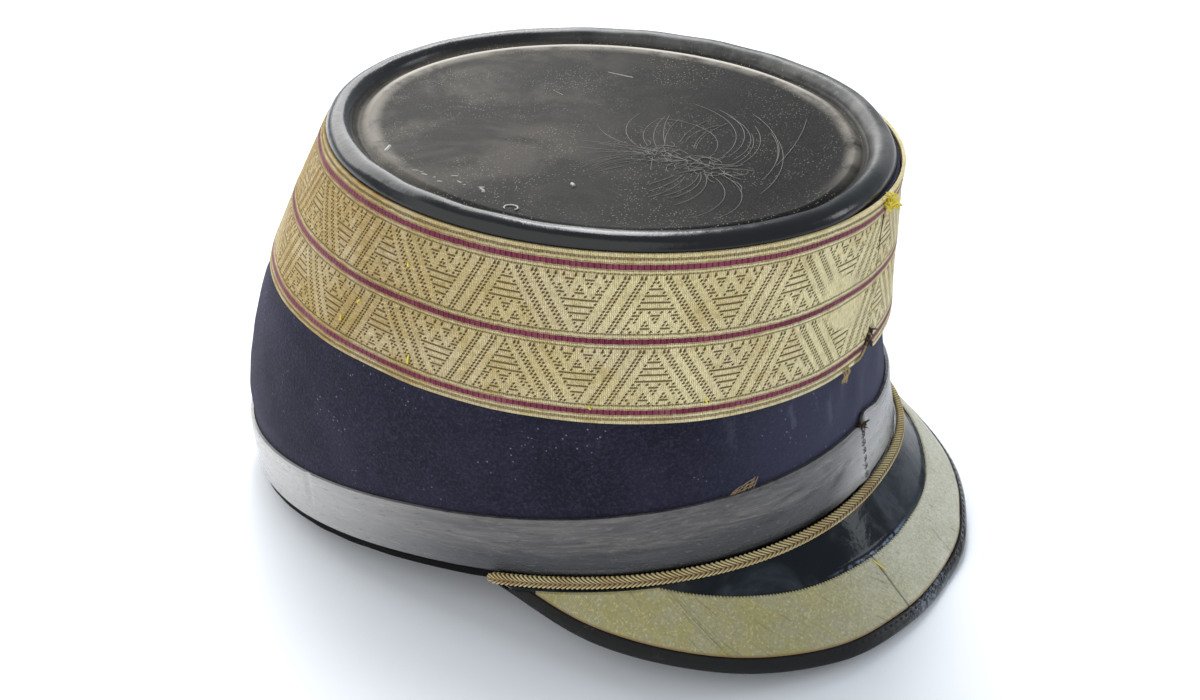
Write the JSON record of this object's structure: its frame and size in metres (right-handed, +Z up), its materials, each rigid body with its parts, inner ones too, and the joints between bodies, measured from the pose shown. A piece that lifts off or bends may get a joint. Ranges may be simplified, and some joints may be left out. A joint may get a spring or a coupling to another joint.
{
  "type": "kepi cap",
  "caption": "Peaked military kepi cap with a navy cloth crown, dished leather top, broad gold woven lace, leather band and a lace-edged leather peak with a braid cord.",
  "frame": {"origin": "on the table under the middle of the cap's bounding box", "axes": "+Z up; -Y forwards, where the peak points; +X towards the wearer's left"},
  "size_m": [0.1698, 0.2342, 0.125],
  "materials": {
    "navy_wool": "fulled wool cloth, dark navy, matt with lint",
    "top_leather": "black patent leather, dusty, scratched and crazed",
    "woven_lace": "tarnished gold metal thread woven with crimson stripes",
    "band_leather": "black patent leather with fine wrinkles",
    "edge_leather": "black leather binding, worn",
    "peak_leather": "glossy black patent leather",
    "plain_lace": "flat tarnished gold metal lace, rubbed",
    "gold_cord": "herringbone braid of tarnished gold thread"
  },
  "bodies": {
    "root": {"crown_wall": "navy_wool", "crown_top": "top_leather", "crown_lace": "woven_lace", "leather_band": "band_leather", "rim_binding": "edge_leather", "peak": "peak_leather", "peak_lace": "plain_lace", "peak_binding": "edge_leather", "peak_cord": "gold_cord"}
  },
  "joints": []
}
